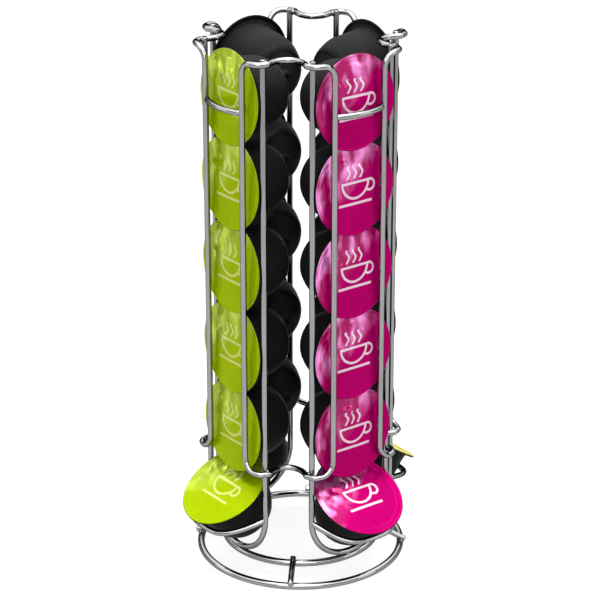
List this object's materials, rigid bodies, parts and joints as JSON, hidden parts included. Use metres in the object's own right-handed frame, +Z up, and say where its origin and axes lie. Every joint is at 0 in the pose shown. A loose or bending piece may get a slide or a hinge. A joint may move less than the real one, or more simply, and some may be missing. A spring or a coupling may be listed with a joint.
{
  "type": "capsule dispenser",
  "caption": "Free-standing bright wire tower that stores drink capsules in upright columns and hands them out from trays near its base.",
  "frame": {"origin": "middle of the foot ring, on the surface that the tower stands on", "axes": "+Z up the tower's axis; channels face -Y (front), +X (right), +Y (back) and -X (left)"},
  "size_m": [0.1558, 0.1558, 0.313],
  "materials": {
    "bright_wire": "polished",
    "pink_capsule": "black cup under a satin foil lid",
    "yellow_capsule": "black cup under a satin foil lid",
    "lime_capsule": "black cup under a satin foil lid"
  },
  "bodies": {
    "stand": {"outer_ring": "bright_wire", "inner_ring": "bright_wire", "front_right_loop": "bright_wire", "front_right_spoke": "bright_wire", "back_right_loop": "bright_wire", "back_right_spoke": "bright_wire", "back_left_loop": "bright_wire", "back_left_spoke": "bright_wire", "front_left_loop": "bright_wire", "front_left_spoke": "bright_wire", "front_hairpin": "bright_wire", "front_tray_lip": "bright_wire", "front_bar": "bright_wire", "right_hairpin": "bright_wire", "right_tray_lip": "bright_wire", "right_bar": "bright_wire", "back_hairpin": "bright_wire", "back_tray_lip": "bright_wire", "back_bar": "bright_wire", "left_hairpin": "bright_wire", "left_tray_lip": "bright_wire", "left_bar": "bright_wire"},
    "front_tray_capsule": {"front_tray_capsule": "pink_capsule"},
    "front_capsule_5": {"front_capsule_5": "pink_capsule"},
    "front_capsule_4": {"front_capsule_4": "pink_capsule"},
    "front_capsule_3": {"front_capsule_3": "pink_capsule"},
    "front_capsule_2": {"front_capsule_2": "pink_capsule"},
    "front_capsule_1": {"front_capsule_1": "pink_capsule"},
    "right_tray_capsule": {"right_tray_capsule": "yellow_capsule"},
    "right_capsule_5": {"right_capsule_5": "yellow_capsule"},
    "right_capsule_4": {"right_capsule_4": "yellow_capsule"},
    "right_capsule_3": {"right_capsule_3": "yellow_capsule"},
    "right_capsule_2": {"right_capsule_2": "yellow_capsule"},
    "right_capsule_1": {"right_capsule_1": "yellow_capsule"},
    "back_tray_capsule": {"back_tray_capsule": "pink_capsule"},
    "back_capsule_5": {"back_capsule_5": "pink_capsule"},
    "back_capsule_4": {"back_capsule_4": "pink_capsule"},
    "back_capsule_3": {"back_capsule_3": "pink_capsule"},
    "back_capsule_2": {"back_capsule_2": "pink_capsule"},
    "back_capsule_1": {"back_capsule_1": "pink_capsule"},
    "left_tray_capsule": {"left_tray_capsule": "lime_capsule"},
    "left_capsule_5": {"left_capsule_5": "lime_capsule"},
    "left_capsule_4": {"left_capsule_4": "lime_capsule"},
    "left_capsule_3": {"left_capsule_3": "lime_capsule"},
    "left_capsule_2": {"left_capsule_2": "lime_capsule"},
    "left_capsule_1": {"left_capsule_1": "lime_capsule"}
  },
  "joints": [
    {"name": "front_tray_slide", "type": "slide", "parent": "stand", "child": "front_tray_capsule", "axis": [0, -0.5446, 0.8387], "range_m": [0, 0.008]},
    {"name": "front_lift_5", "type": "slide", "parent": "stand", "child": "front_capsule_5", "axis": [0, 0, 1], "range_m": [0, 0.00672]},
    {"name": "front_lift_4", "type": "slide", "parent": "front_capsule_5", "child": "front_capsule_4", "axis": [0, 0, 1], "range_m": [0, 0.06]},
    {"name": "front_lift_3", "type": "slide", "parent": "front_capsule_4", "child": "front_capsule_3", "axis": [0, 0, 1], "range_m": [0, 0.06]},
    {"name": "front_lift_2", "type": "slide", "parent": "front_capsule_3", "child": "front_capsule_2", "axis": [0, 0, 1], "range_m": [0, 0.06]},
    {"name": "front_lift_1", "type": "slide", "parent": "front_capsule_2", "child": "front_capsule_1", "axis": [0, 0, 1], "range_m": [0, 0.06]},
    {"name": "right_tray_slide", "type": "slide", "parent": "stand", "child": "right_tray_capsule", "axis": [0.5446, 0, 0.8387], "range_m": [0, 0.008]},
    {"name": "right_lift_5", "type": "slide", "parent": "stand", "child": "right_capsule_5", "axis": [0, 0, 1], "range_m": [0, 0.00672]},
    {"name": "right_lift_4", "type": "slide", "parent": "right_capsule_5", "child": "right_capsule_4", "axis": [0, 0, 1], "range_m": [0, 0.06]},
    {"name": "right_lift_3", "type": "slide", "parent": "right_capsule_4", "child": "right_capsule_3", "axis": [0, 0, 1], "range_m": [0, 0.06]},
    {"name": "right_lift_2", "type": "slide", "parent": "right_capsule_3", "child": "right_capsule_2", "axis": [0, 0, 1], "range_m": [0, 0.06]},
    {"name": "right_lift_1", "type": "slide", "parent": "right_capsule_2", "child": "right_capsule_1", "axis": [0, 0, 1], "range_m": [0, 0.06]},
    {"name": "back_tray_slide", "type": "slide", "parent": "stand", "child": "back_tray_capsule", "axis": [0, 0.5446, 0.8387], "range_m": [0, 0.008]},
    {"name": "back_lift_5", "type": "slide", "parent": "stand", "child": "back_capsule_5", "axis": [0, 0, 1], "range_m": [0, 0.00672]},
    {"name": "back_lift_4", "type": "slide", "parent": "back_capsule_5", "child": "back_capsule_4", "axis": [0, 0, 1], "range_m": [0, 0.06]},
    {"name": "back_lift_3", "type": "slide", "parent": "back_capsule_4", "child": "back_capsule_3", "axis": [0, 0, 1], "range_m": [0, 0.06]},
    {"name": "back_lift_2", "type": "slide", "parent": "back_capsule_3", "child": "back_capsule_2", "axis": [0, 0, 1], "range_m": [0, 0.06]},
    {"name": "back_lift_1", "type": "slide", "parent": "back_capsule_2", "child": "back_capsule_1", "axis": [0, 0, 1], "range_m": [0, 0.06]},
    {"name": "left_tray_slide", "type": "slide", "parent": "stand", "child": "left_tray_capsule", "axis": [-0.5446, 0, 0.8387], "range_m": [0, 0.008]},
    {"name": "left_lift_5", "type": "slide", "parent": "stand", "child": "left_capsule_5", "axis": [0, 0, 1], "range_m": [0, 0.00672]},
    {"name": "left_lift_4", "type": "slide", "parent": "left_capsule_5", "child": "left_capsule_4", "axis": [0, 0, 1], "range_m": [0, 0.06]},
    {"name": "left_lift_3", "type": "slide", "parent": "left_capsule_4", "child": "left_capsule_3", "axis": [0, 0, 1], "range_m": [0, 0.06]},
    {"name": "left_lift_2", "type": "slide", "parent": "left_capsule_3", "child": "left_capsule_2", "axis": [0, 0, 1], "range_m": [0, 0.06]},
    {"name": "left_lift_1", "type": "slide", "parent": "left_capsule_2", "child": "left_capsule_1", "axis": [0, 0, 1], "range_m": [0, 0.06]}
  ],
  "couplings": [
    {"joint": "front_lift_5", "follows": "front_tray_slide", "ratio": 0.84},
    {"joint": "right_lift_5", "follows": "right_tray_slide", "ratio": 0.84},
    {"joint": "back_lift_5", "follows": "back_tray_slide", "ratio": 0.84},
    {"joint": "left_lift_5", "follows": "left_tray_slide", "ratio": 0.84}
  ]
}
